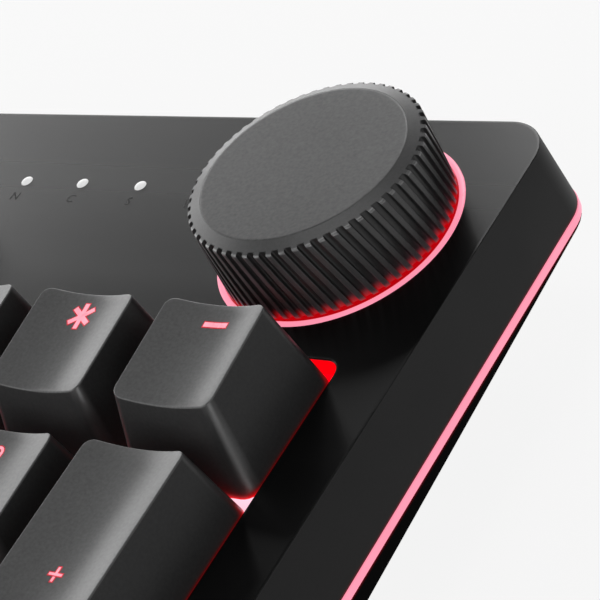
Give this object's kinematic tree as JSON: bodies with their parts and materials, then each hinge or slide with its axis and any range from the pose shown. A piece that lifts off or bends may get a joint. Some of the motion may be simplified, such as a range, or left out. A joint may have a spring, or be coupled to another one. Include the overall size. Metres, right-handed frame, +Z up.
{
  "type": "mechanical keyboard",
  "caption": "Full-size mechanical keyboard with a sloped deck, sprung keys, a grooved volume knob with a lit ring, a lit edge strip and fold-out rear feet.",
  "frame": {"origin": "middle of the footprint, on the desk under the rubber feet", "axes": "+X to the right along the keyboard, +Y to the rear, +Z up"},
  "size_m": [0.4462, 0.1458, 0.0383],
  "materials": {
    "deck": "fine matte",
    "underside": "matte",
    "light_guide": "lit, clear",
    "plate": "brushed",
    "board": "matte",
    "switch": "matte",
    "steel": "satin",
    "led": "gloss",
    "chip": "matte",
    "lens": "frosted",
    "knob": "fine matte",
    "knob_disc": "fine matte",
    "keycap": "fine matte",
    "rubber": "matte"
  },
  "bodies": {
    "case": {"top_case": "deck", "bottom_case": "underside", "side_light_strip": "light_guide", "switch_plate": "plate", "circuit_board": "board", "switch_bases": "switch", "switch_tops": "switch", "switch_springs": "steel", "backlight_leds": "led", "edge_leds": "led", "controller_chip": "chip", "usb_socket": "steel", "indicator_lenses": "lens", "knob_light_ring": "light_guide", "encoder_body": "steel", "encoder_nut": "steel", "plate_screws": "steel", "case_screws": "steel", "rubber_feet": "rubber", "foot_hinge_pins": "steel"},
    "rotor": {"encoder_rotor": "switch"},
    "knob": {"knob_body": "knob", "knob_top_disc": "knob_disc", "encoder_shaft": "steel"},
    "left_foot": {"left_tilt_foot": "underside", "left_foot_tip": "rubber"},
    "right_foot": {"right_tilt_foot": "underside", "right_foot_tip": "rubber"},
    "function_row_keys_body": {"function_row_keys": "keycap"},
    "system_keys_group_body": {"system_keys_group": "keycap"},
    "number_row_keys_body": {"number_row_keys": "keycap"},
    "top_letter_row_keys_body": {"top_letter_row_keys": "keycap"},
    "home_row_keys_body": {"home_row_keys": "keycap"},
    "shift_row_keys_body": {"shift_row_keys": "keycap"},
    "bottom_row_keys_body": {"bottom_row_keys": "keycap"},
    "navigation_keys_group_body": {"navigation_keys_group": "keycap"},
    "arrow_keys_group_body": {"arrow_keys_group": "keycap"},
    "key_num_lock_body": {"key_num_lock": "keycap"},
    "key_divide_body": {"key_divide": "keycap"},
    "key_multiply_body": {"key_multiply": "keycap"},
    "key_subtract_body": {"key_subtract": "keycap"},
    "key_7_body": {"key_7": "keycap"},
    "key_8_body": {"key_8": "keycap"},
    "key_9_body": {"key_9": "keycap"},
    "key_add_body": {"key_add": "keycap"},
    "key_4_body": {"key_4": "keycap"},
    "key_5_body": {"key_5": "keycap"},
    "key_6_body": {"key_6": "keycap"},
    "key_1_body": {"key_1": "keycap"},
    "key_2_body": {"key_2": "keycap"},
    "key_3_body": {"key_3": "keycap"},
    "key_enter_body": {"key_enter": "keycap"},
    "key_0_body": {"key_0": "keycap"},
    "key_decimal_body": {"key_decimal": "keycap"}
  },
  "joints": [
    {"name": "press_function_row_keys", "type": "slide", "parent": "case", "child": "function_row_keys_body", "axis": [0, 0.0523, -0.9986], "range_m": [0, 0.004], "stiffness_N_per_m": 975, "springref_m": -0.004, "deforming": ["switch_springs"]},
    {"name": "press_system_keys_group", "type": "slide", "parent": "case", "child": "system_keys_group_body", "axis": [0, 0.0523, -0.9986], "range_m": [0, 0.004], "stiffness_N_per_m": 225, "springref_m": -0.004, "deforming": ["switch_springs"]},
    {"name": "press_number_row_keys", "type": "slide", "parent": "case", "child": "number_row_keys_body", "axis": [0, 0.0523, -0.9986], "range_m": [0, 0.004], "stiffness_N_per_m": 1050, "springref_m": -0.004, "deforming": ["switch_springs"]},
    {"name": "press_top_letter_row_keys", "type": "slide", "parent": "case", "child": "top_letter_row_keys_body", "axis": [0, 0.0523, -0.9986], "range_m": [0, 0.004], "stiffness_N_per_m": 1050, "springref_m": -0.004, "deforming": ["switch_springs"]},
    {"name": "press_home_row_keys", "type": "slide", "parent": "case", "child": "home_row_keys_body", "axis": [0, 0.0523, -0.9986], "range_m": [0, 0.004], "stiffness_N_per_m": 975, "springref_m": -0.004, "deforming": ["switch_springs"]},
    {"name": "press_shift_row_keys", "type": "slide", "parent": "case", "child": "shift_row_keys_body", "axis": [0, 0.0523, -0.9986], "range_m": [0, 0.004], "stiffness_N_per_m": 900, "springref_m": -0.004, "deforming": ["switch_springs"]},
    {"name": "press_bottom_row_keys", "type": "slide", "parent": "case", "child": "bottom_row_keys_body", "axis": [0, 0.0523, -0.9986], "range_m": [0, 0.004], "stiffness_N_per_m": 600, "springref_m": -0.004, "deforming": ["switch_springs"]},
    {"name": "press_navigation_keys_group", "type": "slide", "parent": "case", "child": "navigation_keys_group_body", "axis": [0, 0.0523, -0.9986], "range_m": [0, 0.004], "stiffness_N_per_m": 450, "springref_m": -0.004, "deforming": ["switch_springs"]},
    {"name": "press_arrow_keys_group", "type": "slide", "parent": "case", "child": "arrow_keys_group_body", "axis": [0, 0.0523, -0.9986], "range_m": [0, 0.004], "stiffness_N_per_m": 300, "springref_m": -0.004, "deforming": ["switch_springs"]},
    {"name": "press_key_num_lock", "type": "slide", "parent": "case", "child": "key_num_lock_body", "axis": [0, 0.0523, -0.9986], "range_m": [0, 0.004], "stiffness_N_per_m": 75, "springref_m": -0.004, "deforming": ["switch_springs"]},
    {"name": "press_key_divide", "type": "slide", "parent": "case", "child": "key_divide_body", "axis": [0, 0.0523, -0.9986], "range_m": [0, 0.004], "stiffness_N_per_m": 75, "springref_m": -0.004, "deforming": ["switch_springs"]},
    {"name": "press_key_multiply", "type": "slide", "parent": "case", "child": "key_multiply_body", "axis": [0, 0.0523, -0.9986], "range_m": [0, 0.004], "stiffness_N_per_m": 75, "springref_m": -0.004, "deforming": ["switch_springs"]},
    {"name": "press_key_subtract", "type": "slide", "parent": "case", "child": "key_subtract_body", "axis": [0, 0.0523, -0.9986], "range_m": [0, 0.004], "stiffness_N_per_m": 75, "springref_m": -0.004, "deforming": ["switch_springs"]},
    {"name": "press_key_7", "type": "slide", "parent": "case", "child": "key_7_body", "axis": [0, 0.0523, -0.9986], "range_m": [0, 0.004], "stiffness_N_per_m": 75, "springref_m": -0.004, "deforming": ["switch_springs"]},
    {"name": "press_key_8", "type": "slide", "parent": "case", "child": "key_8_body", "axis": [0, 0.0523, -0.9986], "range_m": [0, 0.004], "stiffness_N_per_m": 75, "springref_m": -0.004, "deforming": ["switch_springs"]},
    {"name": "press_key_9", "type": "slide", "parent": "case", "child": "key_9_body", "axis": [0, 0.0523, -0.9986], "range_m": [0, 0.004], "stiffness_N_per_m": 75, "springref_m": -0.004, "deforming": ["switch_springs"]},
    {"name": "press_key_add", "type": "slide", "parent": "case", "child": "key_add_body", "axis": [0, 0.0523, -0.9986], "range_m": [0, 0.004], "stiffness_N_per_m": 75, "springref_m": -0.004, "deforming": ["switch_springs"]},
    {"name": "press_key_4", "type": "slide", "parent": "case", "child": "key_4_body", "axis": [0, 0.0523, -0.9986], "range_m": [0, 0.004], "stiffness_N_per_m": 75, "springref_m": -0.004, "deforming": ["switch_springs"]},
    {"name": "press_key_5", "type": "slide", "parent": "case", "child": "key_5_body", "axis": [0, 0.0523, -0.9986], "range_m": [0, 0.004], "stiffness_N_per_m": 75, "springref_m": -0.004, "deforming": ["switch_springs"]},
    {"name": "press_key_6", "type": "slide", "parent": "case", "child": "key_6_body", "axis": [0, 0.0523, -0.9986], "range_m": [0, 0.004], "stiffness_N_per_m": 75, "springref_m": -0.004, "deforming": ["switch_springs"]},
    {"name": "press_key_1", "type": "slide", "parent": "case", "child": "key_1_body", "axis": [0, 0.0523, -0.9986], "range_m": [0, 0.004], "stiffness_N_per_m": 75, "springref_m": -0.004, "deforming": ["switch_springs"]},
    {"name": "press_key_2", "type": "slide", "parent": "case", "child": "key_2_body", "axis": [0, 0.0523, -0.9986], "range_m": [0, 0.004], "stiffness_N_per_m": 75, "springref_m": -0.004, "deforming": ["switch_springs"]},
    {"name": "press_key_3", "type": "slide", "parent": "case", "child": "key_3_body", "axis": [0, 0.0523, -0.9986], "range_m": [0, 0.004], "stiffness_N_per_m": 75, "springref_m": -0.004, "deforming": ["switch_springs"]},
    {"name": "press_key_enter", "type": "slide", "parent": "case", "child": "key_enter_body", "axis": [0, 0.0523, -0.9986], "range_m": [0, 0.004], "stiffness_N_per_m": 75, "springref_m": -0.004, "deforming": ["switch_springs"]},
    {"name": "press_key_0", "type": "slide", "parent": "case", "child": "key_0_body", "axis": [0, 0.0523, -0.9986], "range_m": [0, 0.004], "stiffness_N_per_m": 75, "springref_m": -0.004, "deforming": ["switch_springs"]},
    {"name": "press_key_decimal", "type": "slide", "parent": "case", "child": "key_decimal_body", "axis": [0, 0.0523, -0.9986], "range_m": [0, 0.004], "stiffness_N_per_m": 75, "springref_m": -0.004, "deforming": ["switch_springs"]},
    {"name": "knob_turn", "type": "hinge", "parent": "case", "child": "rotor", "pos_m": [0.20178, 0.05229, 0.01611], "axis": [0, -0.0523, 0.9986], "continuous": true},
    {"name": "knob_press", "type": "slide", "parent": "rotor", "child": "knob", "axis": [0, 0.0523, -0.9986], "range_m": [0, 0.0005], "stiffness_N_per_m": 1000, "springref_m": -0.003},
    {"name": "left_foot_fold", "type": "hinge", "parent": "case", "child": "left_foot", "pos_m": [-0.14996, 0.04691, 0.0039], "axis": [1, 0, 0], "range_deg": [0, 95]},
    {"name": "right_foot_fold", "type": "hinge", "parent": "case", "child": "right_foot", "pos_m": [0.14996, 0.04691, 0.0039], "axis": [1, 0, 0], "range_deg": [0, 95]}
  ]
}
